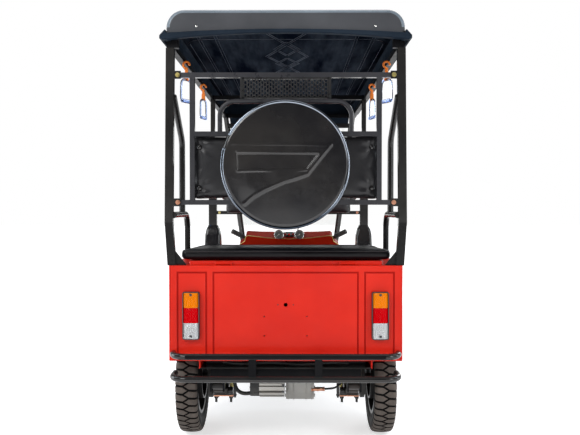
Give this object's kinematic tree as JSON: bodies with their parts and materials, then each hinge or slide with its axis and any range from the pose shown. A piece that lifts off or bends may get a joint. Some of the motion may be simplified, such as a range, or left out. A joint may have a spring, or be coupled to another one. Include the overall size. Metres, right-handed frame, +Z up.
{
  "type": "electric passenger rickshaw",
  "caption": "Open-sided three-wheeled electric rickshaw with a bench seat, roof, spare wheel under a round cover, steering fork and hinged seat lid.",
  "frame": {"origin": "on the floor under the centre of the overall box", "axes": "+Z up, +Y to the front of the vehicle, +X to the right seen from behind"},
  "size_m": [1, 2.78, 1.79],
  "materials": {
    "red_paint": "gloss",
    "black_steel": "gloss",
    "gloss_black": "gloss",
    "roof_black": "satin",
    "black_leatherette": "satin",
    "floor_plate": "satin",
    "battery_case": "matte",
    "tyre": "matte",
    "wheel_black": "satin",
    "strap": "gloss",
    "lamp_lens": "gloss",
    "tail_lens": "gloss",
    "glass": "clear",
    "cast_iron": "matte",
    "spring_steel": "matte",
    "aluminium": "matte"
  },
  "bodies": {
    "chassis": {"chassis_frame": "black_steel", "floor_pan": "floor_plate", "rear_panel": "red_paint", "side_panel_right": "red_paint", "side_panel_left": "red_paint", "seat_box": "red_paint", "batteries": "battery_case", "rear_posts": "black_steel", "backrest_frame": "black_steel", "mesh_grille": "black_steel", "backrest_pad": "black_leatherette", "spare_wheel": "tyre", "spare_cover": "gloss_black", "mid_frame": "black_steel", "post_boots": "gloss_black", "mid_seat_box": "red_paint", "mid_cushion": "black_leatherette", "mid_backrest_pad": "black_leatherette", "driver_seat": "black_leatherette", "roof_rails": "black_steel", "roof_shell": "roof_black", "ceiling": "gloss_black", "hand_straps": "strap", "front_cowl": "red_paint", "front_lamps": "lamp_lens", "windscreen_frame": "black_steel", "windscreen_glass": "glass", "mirrors": "gloss_black", "rear_axle": "cast_iron", "rear_springs": "spring_steel", "motor": "aluminium", "rear_bumper": "black_steel", "tail_lamps": "tail_lens"},
    "seat_lid": {"seat_lid": "red_paint", "rear_cushion": "black_leatherette"},
    "steering": {"fork": "black_steel", "handlebar": "black_steel", "handle_cover": "red_paint", "front_mudguard": "red_paint"},
    "front_wheel": {"front_tyre": "tyre", "front_rim": "wheel_black"},
    "rear_wheel_right": {"rear_tyre_right": "tyre", "rear_rim_right": "wheel_black"},
    "rear_wheel_left": {"rear_tyre_left": "tyre", "rear_rim_left": "wheel_black"}
  },
  "joints": [
    {"name": "steering", "type": "hinge", "parent": "chassis", "child": "steering", "pos_m": [0, 0.94695, 0.56], "axis": [0, -0.454, 0.891], "range_deg": [-35, 35]},
    {"name": "front_wheel_spin", "type": "hinge", "parent": "steering", "child": "front_wheel", "pos_m": [0, 1.14, 0.24], "axis": [1, 0, 0], "continuous": true},
    {"name": "rear_wheel_right_spin", "type": "hinge", "parent": "chassis", "child": "rear_wheel_right", "pos_m": [0.418, -0.91, 0.24], "axis": [1, 0, 0], "continuous": true},
    {"name": "rear_wheel_left_spin", "type": "hinge", "parent": "chassis", "child": "rear_wheel_left", "pos_m": [-0.418, -0.91, 0.24], "axis": [1, 0, 0], "continuous": true},
    {"name": "rear_seat_lid", "type": "hinge", "parent": "chassis", "child": "seat_lid", "pos_m": [0, -1.209, 0.776], "axis": [1, 0, 0], "range_deg": [0, 50]}
  ]
}
